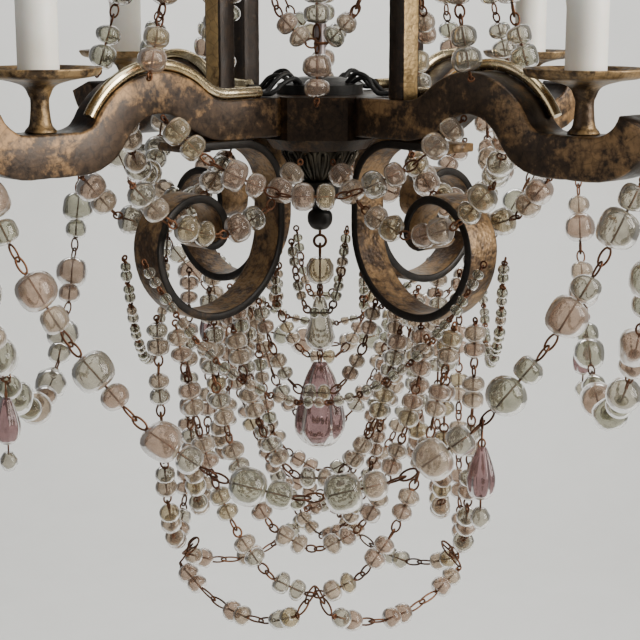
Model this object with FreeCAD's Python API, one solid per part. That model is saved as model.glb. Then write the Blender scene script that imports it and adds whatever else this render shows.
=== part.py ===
import FreeCAD, Part
import math
import os

# Beaded cage chandelier. Millimetres, +Z up. The origin is the point where the ceiling hook
# bears on the inside of the suspension ring, so the whole object hangs below it.

ARMS = 4
HUB_Z = -345.0  # top face of the hub

# suspension
RING_R = 16.0
RING_WIRE_R = 2.5
EYE_R = 8.0
EYE_WIRE_R = 2.2
LINK_CLEARANCE = 0.35
CROWN_R = 46.0
CROWN_Z = HUB_Z + 252.0  # underside of the crown plate
CENTRE_TUBE_R = 3.5

# hub
HUB_APOTHEM = 44.0
HUB_H = 26.0
JUNCTION_R = 27.0
FINIAL_Z = HUB_Z - HUB_H - 29  # top of the finial, under the leaf cup

# arms
BEAM_T = 24.0  # height of the board
BEAM_W = 25.0  # across the arm
CONDUIT_R = 3.4
CONDUIT_SIDE = 8.6  # how far the wiring tube lies to one side of the arm's middle
BAR_R = 77.0  # middle of a cage bar from the axis
BAR_T = 12.0
BAR_W = 14.0
BAR_SIDE = -4.6
CANDLE_R = 206.0
STRIP_T = 5.0
STRIP_W = 24.0
STRIP_HOLE_R = 1.8

# lamps
PAN_R = 34.0
PAN_H = 31.0  # from the beam to the foot of the candle sleeve
SLEEVE_R = 12.0
SLEEVE_WALL = 1.4
SLEEVE_H = 105.0
SOCKET_R = 9.5
LAMP_R = 15.5

# the centre pendant hangs from the finial's hook
HOOK_Z = HUB_Z - 94.0  # middle of the hook's loop
HOOK_R = 3.8
HOOK_WIRE_R = 0.9
HOOK_BAR_Z = HOOK_Z - HOOK_R  # the bar that the pendant swings on
PENDANT_GAP = 0.4

# the small drops hang on a wire link of each outer swag
DROP_PLACE = 0.75  # how far along the swag
DROP_LOOP_R = 3.2
DROP_WIRE_R = 0.6
DROP_SLACK = 0.8  # the loop's middle is this far below the link
DROP_STEM = 10.0

WIRE_R = 0.7
ROD_GAP = 0.5
BEAD_GAP = 0.2

os.makedirs("parts", exist_ok=True)
Z_AXIS = FreeCAD.Vector(0, 0, 1)
X_AXIS = FreeCAD.Vector(1, 0, 0)
Y_AXIS = FreeCAD.Vector(0, 1, 0)
ORIGIN = FreeCAD.Vector(0, 0, 0)


def vec(x, y, z):
    return FreeCAD.Vector(x, y, z)


def polar(r, degrees, z):
    a = math.radians(degrees)
    return vec(r * math.cos(a), r * math.sin(a), z)


def save(name, shapes):
    """One node: a single solid, or a group of separate solids."""
    if not isinstance(shapes, list):
        shapes = [shapes]
    shape = shapes[0] if len(shapes) == 1 else Part.makeCompound(shapes)
    shape.exportStep(f"parts/{name}.step")


def on_arm(shape, arm):
    """A copy of a shape made on the +X arm, turned to the given arm."""
    made = shape.copy()
    made.rotate(ORIGIN, Z_AXIS, 360.0 / ARMS * arm)
    return made


def turned(profile, x=0.0, y=0.0):
    """A solid turned about a vertical axis; profile is (radius, z) going round the section."""
    points = [vec(r, 0, z) for r, z in profile]
    face = Part.Face(Part.makePolygon(points + [points[0]]))
    solid = face.revolve(ORIGIN, Z_AXIS, 360)
    solid.translate(vec(x, y, 0))
    return solid


def rod(a, b, radius):
    along = b.sub(a)
    return Part.makeCylinder(radius, along.Length, a, along)


# ---------------------------------------------------------------- bent bars

def chain(start, heading, moves):
    """A run of tangent lines and arcs in the (r, z) plane.

    A move is ("line", length) or ("arc", radius, degrees), where a positive turn is to the left.
    Returns each stretch as its start, middle and end, each one (r, z, heading in radians)."""
    r, z = start
    h = math.radians(heading)
    found = []
    for move in moves:
        states = []
        for part in (0.0, 0.5, 1.0):
            if move[0] == "line":
                d = move[1] * part
                states.append((r + d * math.cos(h), z + d * math.sin(h), h))
            else:
                turn = math.radians(move[2]) * part
                side = 1.0 if move[2] > 0 else -1.0
                cr = r - side * move[1] * math.sin(h)
                cz = z + side * move[1] * math.cos(h)
                h1 = h + turn
                states.append(
                    (cr + side * move[1] * math.sin(h1), cz - side * move[1] * math.cos(h1), h1)
                )
        found.append((move[0], states))
        r, z, h = states[-1]
    return found


def shifted(state, offset):
    """The point beside a chain's state, offset to the left."""
    r, z, h = state
    return vec(r - offset * math.sin(h), 0, z + offset * math.cos(h))


def edge_beside(kind, states, offset):
    points = [shifted(s, offset) for s in states]
    if kind == "line":
        return Part.LineSegment(points[0], points[2]).toShape()
    return Part.Arc(*points).toShape()


def bent_bar(stretches, thickness, width, side=0.0):
    """A bar of rectangular section bent along a chain; side moves it across the arm."""
    half = thickness / 2
    left = [edge_beside(kind, states, half) for kind, states in stretches]
    right = [edge_beside(kind, states, -half) for kind, states in stretches]
    first, last = stretches[0][1][0], stretches[-1][1][2]
    caps = [
        Part.LineSegment(shifted(first, half), shifted(first, -half)).toShape(),
        Part.LineSegment(shifted(last, half), shifted(last, -half)).toShape(),
    ]
    wire = Part.Wire(Part.__sortEdges__(left + right + caps))
    bar = Part.Face(wire).extrude(vec(0, width, 0))
    bar.translate(vec(0, side - width / 2, 0))
    return bar


def tube_along(stretches, offset, radius, side):
    """A round tube that lies beside a chain, offset to the left and moved across the arm."""
    edges = [edge_beside(kind, states, offset) for kind, states in stretches]
    path = Part.Wire(edges)
    start = stretches[0][1][0]
    heading = vec(math.cos(start[2]), 0, math.sin(start[2]))
    section = Part.Wire(Part.makeCircle(radius, shifted(start, offset), heading))
    tube = path.makePipeShell([section], True, True)
    tube.translate(vec(0, side, 0))
    return tube


BEAM_MID = HUB_Z - BEAM_T / 2
BEAM_CURVES = [("arc", 40.0, 40.0), ("arc", 38.0, -100.0), ("arc", 24.0, 60.0)]
BEAM_TIP = [("line", 32.0), ("arc", 30.0, 70.0)]  # the flat seat of the candle and the toe
BEAM_PATH = chain((HUB_APOTHEM, BEAM_MID), 0, [("line", 40.0), *BEAM_CURVES, *BEAM_TIP])
BEAM_SEAT = BEAM_PATH[4][1][2]
PAN_Z = BEAM_SEAT[1] + BEAM_T / 2  # top of the beam at the candle

STRIP_PATH = chain(
    (118.0, HUB_Z - BEAM_T - STRIP_T / 2),
    180,
    [
        ("line", 45.0),
        ("arc", 30.0, 90.0),
        ("line", 22.0),
        ("arc", 50.0, 90.0),
        ("arc", 43.0, 90.0),
        ("arc", 29.0, 90.0),
        ("arc", 20.0, 90.0),
        ("arc", 9.0, 150.0),
    ],
)
STRIP_DROP = STRIP_PATH[2][1]  # the straight stretch beside the hub
STRIP_FOOT = STRIP_PATH[4][1][0]  # lowest point

BAR_PATH = chain((BAR_R, HUB_Z), 90, [("line", 190.0), ("arc", 75.0, 68.0)])


# ---------------------------------------------------------------- frame

def suspension_ring():
    return Part.makeTorus(RING_R, RING_WIRE_R, vec(0, 0, -RING_R + RING_WIRE_R), Y_AXIS)


def crown_eye():
    ring_bottom = -2 * RING_R + RING_WIRE_R
    top = ring_bottom + RING_WIRE_R + EYE_WIRE_R + LINK_CLEARANCE
    centre = top - EYE_R
    eye = Part.makeTorus(EYE_R, EYE_WIRE_R, vec(0, 0, centre), X_AXIS)
    stem_top = centre - EYE_R
    stem_bottom = CROWN_Z + 26.0
    stem = Part.makeCylinder(3.0, stem_top - stem_bottom, vec(0, 0, stem_bottom))
    collar = Part.makeCylinder(7.0, 6.0, vec(0, 0, stem_bottom))
    return eye.fuse([stem, collar])


def crown_plate():
    z = CROWN_Z
    profile = [
        (0, z),
        (CROWN_R, z),
        (CROWN_R + 5, z + 4),
        (CROWN_R + 5, z + 8),
        (CROWN_R - 4, z + 11),
        (CROWN_R - 12, z + 18),
        (16, z + 22),
        (12, z + 26),
        (0, z + 26),
    ]
    return turned(profile)


def hub_block():
    corner = HUB_APOTHEM / math.cos(math.pi / 8)
    corners = [polar(corner, 22.5 + 45 * i, HUB_Z - HUB_H) for i in range(8)]
    face = Part.Face(Part.makePolygon(corners + [corners[0]]))
    block = face.extrude(vec(0, 0, HUB_H))
    neck = Part.makeCone(30, 36, 8, vec(0, 0, HUB_Z - HUB_H - 8))
    return block.fuse(neck)


def junction_disc():
    z = HUB_Z
    return turned([(0, z), (JUNCTION_R, z), (JUNCTION_R, z + 6), (14, z + 10), (0, z + 10)])


def leaf_cup():
    z = HUB_Z - HUB_H - 8
    cup = turned([(0, z), (24, z), (25, z - 3), (20, z - 11), (13, z - 18), (9, z - 21), (0, z - 21)])
    flutes = []
    for i in range(16):
        top, bottom = polar(25, 22.5 * i, z), polar(14, 22.5 * i, z - 24)
        flutes.append(rod(top, bottom, 1.6))
    return cup.cut(flutes)


def finial():
    z = FINIAL_Z
    profile = [
        (0, z),
        (12, z),
        (13, z - 5),
        (12, z - 10),
        (8, z - 15),
        (5.5, z - 18),
        (0, z - 18),
    ]
    ball = Part.makeSphere(8.0, vec(0, 0, z - 24))
    return turned(profile).fuse(ball)


def finial_hook():
    ball_bottom = FINIAL_Z - 32
    loop_top = HOOK_Z + HOOK_R
    stem = Part.makeCylinder(HOOK_WIRE_R, ball_bottom - loop_top, vec(0, 0, loop_top))
    loop = Part.makeTorus(HOOK_R, HOOK_WIRE_R, vec(0, 0, HOOK_Z), vec(1, 1, 0))
    return stem.fuse(loop)


def centre_pendant():
    """Three glass pieces and their wire links, which swing as one on the finial's hook."""
    loop_r = 4.0
    loop_centre = HOOK_BAR_Z + HOOK_WIRE_R + 0.8 + PENDANT_GAP - loop_r
    loop = Part.makeTorus(loop_r, 0.8, vec(0, 0, loop_centre), vec(1, -1, 0))
    z = loop_centre - loop_r - 0.8
    clear = [(0, z), (6, z), (9, z - 5), (9, z - 12), (6, z - 17), (0, z - 17)]
    z2 = z - 17 - 9
    pear = [(0, z2), (4, z2), (6, z2 - 12), (10, z2 - 26), (8, z2 - 33), (0, z2 - 36)]
    z3 = z2 - 36 - 7
    drop = [
        (0, z3),
        (4, z3),
        (10.5, z3 - 12),
        (14, z3 - 24),
        (17.2, z3 - 39),
        (16.6, z3 - 47),
        (11, z3 - 55),
        (0, z3 - 58),
    ]
    rods = [
        rod(vec(0, 0, z - 17 - ROD_GAP), vec(0, 0, z2 + ROD_GAP), 0.9),
        rod(vec(0, 0, z2 - 36 - ROD_GAP), vec(0, 0, z3 + ROD_GAP), 0.9),
    ]
    beads = [loop, turned(clear), turned(pear), *rods]
    return beads, turned(drop)


# ---------------------------------------------------------------- lamps

def drip_pan():
    z = PAN_Z
    profile = [
        (0, z),
        (8, z),
        (6, z + 5),
        (5, z + 16),
        (9, z + 25),
        (PAN_R - 4, z + 30),
        (PAN_R, z + 34),
        (PAN_R - 1, z + 35),
        (PAN_R - 6, z + 32),
        (13, z + 29),
        (13, z + PAN_H),
        (0, z + PAN_H),
    ]
    return turned(profile, CANDLE_R)


def candle_sleeve():
    z = PAN_Z + PAN_H
    outer = Part.makeCylinder(SLEEVE_R, SLEEVE_H, vec(CANDLE_R, 0, z))
    inner = Part.makeCylinder(SLEEVE_R - SLEEVE_WALL, SLEEVE_H, vec(CANDLE_R, 0, z))
    return outer.cut(inner)


def lamp_socket():
    return Part.makeCylinder(SOCKET_R, SLEEVE_H - 8, vec(CANDLE_R, 0, PAN_Z + PAN_H))


def candle_lamp():
    z = PAN_Z + PAN_H + SLEEVE_H - 8
    profile = [
        (0, z),
        (7, z),
        (7, z + 12),
        (9, z + 15),
        (14, z + 28),
        (LAMP_R, z + 38),
        (13, z + 52),
        (7, z + 70),
        (2, z + 84),
        (0, z + 86),
    ]
    return turned(profile, CANDLE_R)


# ---------------------------------------------------------------- bead strings

def steepness(ratio):
    """How far up its curve a catenary is held, from its sag over half its span."""
    low, high = 0.01, 8.0
    for _ in range(40):
        c = (low + high) / 2
        if (math.cosh(c) - 1) / c < ratio:
            low = c
        else:
            high = c
    return c


def hanging(a, b, sag, bow=0.0):
    """The line of a string held at a and b: a catenary that drops by sag below the chord,
    pushed outwards by bow in its middle. Returns a function of 0 to 1."""
    middle = a.add(b).multiply(0.5)
    flat = vec(middle.x, middle.y, 0)
    out = flat.multiply(1 / flat.Length) if flat.Length > 1 else vec(0, 0, 0)
    c = steepness(2 * sag / (b - a).Length)

    def at(t):
        lift = (math.cosh(c) - math.cosh(c * (2 * t - 1))) / (math.cosh(c) - 1)
        return a + (b - a) * t + out * (bow * lift) - vec(0, 0, sag * lift)

    return at


def strung(at, sizes, link, start=5.0, steps=400):
    """Beads along a line. sizes lists the (length, width) of the beads on one straight wire,
    which is repeated with a link between wires. Returns the beads as (centre, direction,
    length, width) and the links as (end, end)."""
    points = [at(i / steps) for i in range(steps + 1)]
    reach = [0.0]
    for p, q in zip(points, points[1:]):
        reach.append(reach[-1] + q.sub(p).Length)

    def place(s):
        i = 0
        while i < steps - 1 and reach[i + 1] < s:
            i += 1
        share = (s - reach[i]) / (reach[i + 1] - reach[i])
        return points[i].add(points[i + 1].sub(points[i]).multiply(share))

    wire = sum(length for length, _ in sizes) + BEAD_GAP * (len(sizes) - 1)
    room = reach[-1] - 2 * start + link
    count = int(room // (wire + link))
    spare = (room - count * (wire + link)) / max(count - 1, 1)
    beads, ends = [], []
    for i in range(count):
        s = start + i * (wire + link + spare)
        a, b = place(s), place(s + wire)
        along = b.sub(a).normalize()
        first = (a + b) * 0.5 - along * (wire / 2)
        used = 0.0
        for length, width in sizes:
            beads.append((first + along * (used + length / 2), along, length, width))
            used += length + BEAD_GAP
        ends.append((first, first + along * wire))
    links = []
    for (_, a), (b, _) in zip(ends, ends[1:]):
        step = b.sub(a).normalize() * ROD_GAP
        links.append((a + step, b - step))
    return beads, links


def bead(length, width):
    h, r = length / 2, width / 2
    return turned([(0, -h), (0.6 * r, -h), (r, -0.45 * h), (r, 0.45 * h), (0.6 * r, h), (0, h)])


def string_solids(beads, links):
    solids = []
    for centre, along, length, width in beads:
        solid = bead(length, width)
        solid.Placement = FreeCAD.Placement(centre, FreeCAD.Rotation(Z_AXIS, along))
        solids.append(solid)
    solids += [rod(a, b, WIRE_R) for a, b in links]
    return solids


def at_side(r, side, z, degrees):
    """A point beside an arm: side is the distance across from the arm's middle plane."""
    turn = math.degrees(math.atan2(side, r))
    return polar(math.hypot(r, side), degrees + turn, z)


# bead (length, width) on one wire
BIG = [(21.0, 24.0), (14.0, 17.0)]
ROUND = [(14.0, 18.0), (11.5, 16.0)]
MIDDLE = [(10.5, 14.5), (10.0, 14.0)]
SMALL = [(9.0, 11.5), (8.5, 11.0)]
SEED = [(6.5, 7.5), (6.0, 7.0)]


def pair(side_no, r, side, z, sag, bow=0.0):
    """A string from one arm to the next, held at the same place on both."""
    here, there = 90.0 * side_no, 90.0 * (side_no + 1)
    return hanging(at_side(r, side, z, here), at_side(r, -side, z, there), sag, bow)


def outer_swag(k):
    return [(pair(k, 252.0, 9.0, PAN_Z - BEAM_T + 6, 174.0), BIG, 13.0)]


def basket_swags(k):
    """Four nested swags, and one that ties the lowest of them to the next arm pair's."""
    foot = STRIP_FOOT[1] - 9.0
    low = foot + 11 - 170 - 14
    tie = hanging(polar(94.0, 90.0 * k + 51, low), polar(94.0, 90.0 * k + 129, low), 18.0)
    return [
        (pair(k, 60.0, 9.0, foot + 15, 62.0), SMALL, 9.0),
        (pair(k, 81.0, 9.0, foot + 2, 100.0), MIDDLE, 11.0),
        (pair(k, 103.0, 9.0, foot, 136.0), MIDDLE, 11.0),
        (pair(k, 125.0, 9.0, foot + 11, 170.0), MIDDLE, 11.0),
        (tie, MIDDLE, 11.0),
    ]


def hub_swags(k):
    middle = 90.0 * k + 45
    meet = HUB_Z - 36
    left = hanging(at_side(166.0, 24.0, HUB_Z - 40, 90.0 * k), polar(58.0, middle - 9, meet), 38.0)
    right = hanging(at_side(166.0, -24.0, HUB_Z - 40, 90.0 * k + 90), polar(58.0, middle + 9, meet), 38.0)
    front = pair(k, 138.0, 18.0, HUB_Z - 6, 46.0)
    return [(left, ROUND, 11.0), (right, ROUND, 11.0), (front, ROUND, 11.0)]


def seed_swags(k):
    return [
        (pair(k, 32.0, 8.0, STRIP_DROP[2][1] - 10, 50.0), SEED, 5.0),
        (pair(k, 147.0, 9.0, HUB_Z - 88, 84.0), SEED, 5.0),
    ]


def cage_strands(k):
    middle = 90.0 * k + 45
    crown = CROWN_Z - 6
    here, there = 90.0 * k, 90.0 * k + 90
    foot, top = HUB_Z + 14, HUB_Z + 196
    left = hanging(at_side(150.0, 23.0, foot, here), at_side(104.0, 12.0, top, here), 12.0)
    right = hanging(at_side(150.0, -27.0, foot, there), at_side(104.0, -16.0, top, there), 12.0)
    drop = hanging(polar(34.0, middle, crown), polar(64.0, middle, HUB_Z - 4), 3.0)
    return [
        (left, ROUND, 11.0),
        (right, ROUND, 11.0),
        (pair(k, BAR_R - 14, 8.0, HUB_Z + 176, 84.0, 17.0), MIDDLE, 11.0),
        (pair(k, BAR_R - 14, 8.0, HUB_Z + 116, 84.0, 17.0), MIDDLE, 11.0),
        (drop, ROUND, 11.0),
    ]


def cross_strings():
    found = []
    for k, sag in ((0, 152.0), (1, 170.0)):
        a = polar(70.0, 90.0 * k, STRIP_FOOT[1] + 6)
        b = polar(70.0, 90.0 * k + 180, STRIP_FOOT[1] + 6)
        found.append((hanging(a, b, sag), SMALL, 9.0))
    return found


def node_of(strings):
    solids = []
    for line, sizes, link in strings:
        solids += string_solids(*strung(line, sizes, link))
    return solids


# ---------------------------------------------------------------- swag drops

def drop_link(k):
    """The middle of the wire link that a swag's drop hangs on."""
    wires = strung(*outer_swag(k)[0])[1]
    a, b = wires[int(DROP_PLACE * len(wires))]
    return (a + b) * 0.5


def swag_drop(k):
    """A hooked amethyst drop with a cut crystal ball below it."""
    middle = drop_link(k)
    x, y = middle.x, middle.y
    swag = polar(1, 90.0 * k + 135, 0)
    centre = middle.z - DROP_SLACK
    loop = Part.makeTorus(DROP_LOOP_R, DROP_WIRE_R, vec(x, y, centre), swag)
    under = centre - DROP_LOOP_R
    z = under - DROP_STEM
    loop = loop.fuse(rod(vec(x, y, under), vec(x, y, z + ROD_GAP), DROP_WIRE_R))
    drop = [(0, z), (2.5, z), (5.5, z - 7), (8.2, z - 18), (7, z - 25), (0, z - 29)]
    z2 = z - 34
    link = rod(vec(x, y, z - 29 - ROD_GAP), vec(x, y, z2 + ROD_GAP), DROP_WIRE_R)
    ball = [(0, z2), (3, z2), (5.5, z2 - 4), (5.5, z2 - 7), (3, z2 - 11), (0, z2 - 12)]
    return [loop, turned(drop, x, y), turned(ball, x, y), link]


# ---------------------------------------------------------------- screws

def scroll_screws():
    """Two round-head screws under each scroll's flat top, driven up into the beam."""
    heads = []
    under = HUB_Z - BEAM_T - STRIP_T
    for arm in range(ARMS):
        for r in (92.0, 108.0):
            head = turned([(0, under), (3.2, under), (2.4, under - 1.8), (0, under - 2.2)], r)
            heads.append(on_arm(head, arm))
    return heads


def main():
    save("suspension_ring", suspension_ring())
    save("crown_eye", crown_eye())
    save("crown_plate", crown_plate())
    tube_length = CROWN_Z - (HUB_Z + 10)
    save("centre_tube", Part.makeCylinder(CENTRE_TUBE_R, tube_length, vec(0, 0, HUB_Z + 10)))
    save("hub_block", hub_block())
    save("junction_disc", junction_disc())
    save("leaf_cup", leaf_cup())
    save("finial", finial())
    save("finial_hook", finial_hook())
    beads, drop = centre_pendant()
    save("centre_pendant_beads", beads)
    save("centre_drop", drop)

    beam = bent_bar(BEAM_PATH, BEAM_T, BEAM_W)
    strip = bent_bar(STRIP_PATH, STRIP_T, STRIP_W)
    hole_z = (STRIP_DROP[0][1] + STRIP_DROP[2][1]) / 2
    hole = Part.makeCylinder(STRIP_HOLE_R, 20, vec(STRIP_DROP[0][0] - 10, 0, hole_z), X_AXIS)
    strip = strip.cut(hole)
    bar = bent_bar(BAR_PATH, BAR_T, BAR_W, BAR_SIDE)
    conduit_path = chain((58.0, BEAM_MID), 0, [("line", 26.0), *BEAM_CURVES[:2]])
    conduit = tube_along(conduit_path, BEAM_T / 2 + CONDUIT_R, CONDUIT_R, CONDUIT_SIDE)
    wire = rod(vec(JUNCTION_R - 2, CONDUIT_SIDE, HUB_Z + 3.4), vec(57.8, CONDUIT_SIDE, HUB_Z + 3.4), 1.8)
    wire = wire.cut(junction_disc())

    for arm in range(ARMS):
        n = arm + 1
        save(f"arm_beam_{n}", on_arm(beam, arm))
        save(f"lower_scroll_{n}", on_arm(strip, arm))
        save(f"cage_bar_{n}", on_arm(bar, arm))
        save(f"candle_sleeve_{n}", on_arm(candle_sleeve(), arm))
        save(f"outer_swag_{n}", node_of(outer_swag(arm)))
        save(f"basket_swags_{n}", node_of(basket_swags(arm)))
        save(f"hub_swags_{n}", node_of(hub_swags(arm)))
        save(f"seed_swags_{n}", node_of(seed_swags(arm)))
        save(f"cage_strands_{n}", node_of(cage_strands(arm)))
        save(f"swag_drop_{n}", swag_drop(arm))
    save("cross_strings", node_of(cross_strings()))
    save("wiring_tubes", [on_arm(conduit, arm) for arm in range(ARMS)])
    save("drip_pans", [on_arm(drip_pan(), arm) for arm in range(ARMS)])
    save("lamp_sockets", [on_arm(lamp_socket(), arm) for arm in range(ARMS)])
    save("candle_lamps", [on_arm(candle_lamp(), arm) for arm in range(ARMS)])
    save("arm_wires", [on_arm(wire, arm) for arm in range(ARMS)])
    save("scroll_screws", scroll_screws())


main()
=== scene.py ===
import bpy
import math
import random
from mathutils import Matrix, Vector


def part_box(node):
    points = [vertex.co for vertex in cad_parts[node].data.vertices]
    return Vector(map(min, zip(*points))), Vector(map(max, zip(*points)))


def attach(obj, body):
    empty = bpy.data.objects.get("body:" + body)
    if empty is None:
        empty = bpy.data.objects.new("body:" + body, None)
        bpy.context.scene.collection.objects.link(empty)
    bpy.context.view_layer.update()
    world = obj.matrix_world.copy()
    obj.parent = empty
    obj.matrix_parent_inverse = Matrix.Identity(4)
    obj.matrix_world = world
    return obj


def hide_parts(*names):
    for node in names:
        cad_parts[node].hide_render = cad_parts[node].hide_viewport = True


# Beaded cage chandelier. Lengths are millimetres and become metres when a mesh is made, except
# for the room, the lights and the camera, which are in metres. The strings, beams, strips and
# bars are laid out by the same rules as the CAD part.

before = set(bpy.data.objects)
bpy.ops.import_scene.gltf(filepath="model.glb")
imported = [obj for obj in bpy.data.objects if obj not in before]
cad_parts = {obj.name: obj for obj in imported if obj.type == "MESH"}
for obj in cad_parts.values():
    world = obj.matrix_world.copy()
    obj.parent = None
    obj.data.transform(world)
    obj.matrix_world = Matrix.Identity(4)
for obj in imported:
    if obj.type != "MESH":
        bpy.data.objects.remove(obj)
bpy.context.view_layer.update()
MM = 0.001


def corner(node, which, axis):
    """One coordinate of a node's lowest (0) or highest (1) corner, in millimetres."""
    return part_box(node)[which][axis] * 1000


HUB_Z = corner("hub_block", 1, 2)
CROWN_Z = corner("crown_plate", 0, 2)
PAN_Z = corner("drip_pans", 0, 2)
SLEEVE_Z = corner("candle_sleeve_1", 0, 2)
SLEEVE_TOP = corner("candle_sleeve_1", 1, 2)
CANDLE_R = (corner("candle_sleeve_1", 0, 0) + corner("candle_sleeve_1", 1, 0)) / 2
LAMP_Z = corner("candle_lamps", 0, 2)
CUP_Z = corner("leaf_cup", 1, 2)
FINIAL_Z = corner("finial", 1, 2)

HUB_APOTHEM = 44.0
BEAM_T = 24.0
BEAM_W = 25.0
BAR_R = 77.0
BAR_T = 12.0
BAR_W = 14.0
BAR_SIDE = -4.6
STRIP_T = 5.0
STRIP_W = 24.0
WIRE_R = 0.62
BEAD_GAP = 0.2  # between two beads on one wire


def vec(x, y, z):
    return Vector((x, y, z))


def polar(r, degrees, z):
    a = math.radians(degrees)
    return vec(r * math.cos(a), r * math.sin(a), z)


def turn_z(degrees):
    return Matrix.Rotation(math.radians(degrees), 4, "Z")


# ---------------------------------------------------------------- materials

class Look:
    """A node material. Each method adds a node and returns its output socket."""

    def __init__(self, name):
        self.made = bpy.data.materials.new(name)
        self.made.use_nodes = True
        self.tree = self.made.node_tree
        self.shader = self.tree.nodes["Principled BSDF"]
        self.place = self.tree.nodes.new("ShaderNodeTexCoord").outputs["Object"]

    def join(self, a, b):
        self.tree.links.new(a, b)

    def fill(self, socket, value):
        """Sets a socket to a number or a colour, or joins another node's output to it."""
        if isinstance(value, (int, float)):
            socket.default_value = value
        elif isinstance(value, tuple):
            socket.default_value = (*value, 1.0)
        else:
            self.join(value, socket)

    def noise(self, scale, detail=4.0, rough=0.55, twist=0.0):
        node = self.tree.nodes.new("ShaderNodeTexNoise")
        node.inputs["Scale"].default_value = scale
        node.inputs["Detail"].default_value = detail
        node.inputs["Roughness"].default_value = rough
        node.inputs["Distortion"].default_value = twist
        self.join(self.place, node.inputs["Vector"])
        return node.outputs["Fac"]

    def cells(self, scale, feature="F1"):
        node = self.tree.nodes.new("ShaderNodeTexVoronoi")
        node.feature = feature
        node.inputs["Scale"].default_value = scale
        self.join(self.place, node.inputs["Vector"])
        return node.outputs["Distance"]

    def ramp(self, source, stops):
        node = self.tree.nodes.new("ShaderNodeValToRGB")
        points = node.color_ramp.elements
        while len(points) < len(stops):
            points.new(0.5)
        for point, (at, colour) in zip(points, stops):
            point.position = at
            if isinstance(colour, (int, float)):
                colour = (colour, colour, colour)
            point.color = (*colour, 1.0)
        self.join(source, node.inputs["Fac"])
        return node.outputs["Color"]

    def mix(self, share, a, b, kind="MIX"):
        node = self.tree.nodes.new("ShaderNodeMix")
        node.data_type = "RGBA"
        node.blend_type = kind
        for place, value in ((0, share), (6, a), (7, b)):  # the sockets of a colour mix
            self.fill(node.inputs[place], value)
        return node.outputs[2]

    def bump(self, height, depth, under=None):
        node = self.tree.nodes.new("ShaderNodeBump")
        node.inputs["Strength"].default_value = 1.0
        node.inputs["Distance"].default_value = depth * MM
        self.join(height, node.inputs["Height"])
        if under:
            self.join(under, node.inputs["Normal"])
        return node.outputs["Normal"]

    def finish(self, colour, rough, normal=None, **fixed):
        """Fills the shader; fixed values go straight on its own sockets."""
        self.fill(self.shader.inputs["Base Color"], colour)
        self.fill(self.shader.inputs["Roughness"], rough)
        if normal:
            self.join(normal, self.shader.inputs["Normal"])
        for name, value in fixed.items():
            self.shader.inputs[name.replace("_", " ")].default_value = value
        return self.made


def worn_gilt(name, dark, brown, gold, share, stipple=0.0, metal=0.45):
    """Old leaf over brown paint: gold where share is high, rubbed through in patches."""
    look = Look(name)
    big = look.noise(26.0, 6.0, 0.62, 0.6)
    small = look.noise(210.0, 5.0, 0.7)
    body = look.ramp(small, [(0.3, dark), (0.62, brown)])
    leaf = look.ramp(small, [(0.3, tuple(0.55 * c for c in gold)), (0.7, gold)])
    edge = 0.62 - 0.25 * share
    patch = look.ramp(look.mix(0.3, big, small), [(edge - 0.04, 0.0), (edge + 0.05, 1.0)])
    cracks = look.ramp(look.cells(120.0, "DISTANCE_TO_EDGE"), [(0.0, 0.25), (0.05, 1.0)])
    colour = look.mix(patch, body, leaf)
    colour = look.mix(0.5, colour, cracks, "MULTIPLY")
    rough = look.ramp(small, [(0.3, 0.34), (0.75, 0.62)])
    normal = look.bump(small, 0.35)
    if stipple:
        normal = look.bump(look.cells(420.0), stipple, normal)
    return look.finish(colour, rough, normal, Metallic=metal, Coat_Weight=0.12, Coat_Roughness=0.35)


def glass(name, colour, cloud, through=0.82, rough=0.1, ripple=0.2):
    """Old pressed glass, a little milky and dusty. Its index is set low, because thin rims of
    full index mirror the pale wall and look white."""
    look = Look(name)
    haze = look.noise(95.0, 3.0)
    tint = look.ramp(haze, [(0.35, tuple(cloud * c for c in colour)), (0.65, colour)])
    dust = look.noise(300.0, 4.0, 0.6)
    roughness = look.ramp(dust, [(0.35, rough * 0.5), (0.75, rough * 2.0)])
    normal = look.bump(look.noise(150.0, 2.0, 0.4), ripple)
    fixed = {"Transmission_Weight": through, "IOR": 1.24, "Specular_IOR_Level": 0.5}
    return look.finish(tint, roughness, normal, Coat_Weight=0.12, Coat_Roughness=0.06, **fixed)


def iron(name, dark, light, rough, metal=0.7, depth=0.25):
    look = Look(name)
    grain = look.noise(180.0, 6.0, 0.7)
    stain = look.noise(45.0, 4.0)
    colour = look.mix(look.ramp(stain, [(0.4, 0.0), (0.62, 1.0)]), dark, light)
    roughness = look.ramp(grain, [(0.3, rough * 0.75), (0.7, rough * 1.25)])
    return look.finish(colour, roughness, look.bump(grain, depth), Metallic=metal)


DEEP = (0.006, 0.0035, 0.002)
UMBER = (0.030, 0.017, 0.009)
WALNUT = (0.012, 0.007, 0.004)
BEAM_SIDE = worn_gilt("beam_side", WALNUT, (0.070, 0.041, 0.022), (0.34, 0.20, 0.09), 0.34)
BEAM_EDGE = worn_gilt("beam_edge", DEEP, UMBER, (0.16, 0.085, 0.035), 0.12)
STRIP_BROWN = (0.115, 0.064, 0.031)
STRIP_FACE = worn_gilt("strip_face", (0.020, 0.011, 0.006), STRIP_BROWN, (0.36, 0.22, 0.10), 0.55, 0.4)
# The scroll strips' edges get a near-black copy of the gilt with almost no leaf: partly the edges' own
# ungilt finish, partly painted shade.
EDGE_BROWN_SHADED = (0.012, 0.008, 0.005)
STRIP_EDGE_UNGILT_SHADED = worn_gilt("strip_edge_ungilt_painted_shade", (0.003, 0.002, 0.0015), EDGE_BROWN_SHADED, (0.08, 0.045, 0.02), 0.02)
BAR_BROWN = (0.16, 0.09, 0.04)
BAR_FACE = worn_gilt("bar_face", (0.05, 0.028, 0.012), BAR_BROWN, (0.62, 0.42, 0.19), 0.8, 0.25, 0.6)
BAR_DARK = worn_gilt("bar_dark", DEEP, UMBER, (0.14, 0.08, 0.035), 0.12)
CROWN_BROWN = (0.09, 0.052, 0.024)
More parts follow.
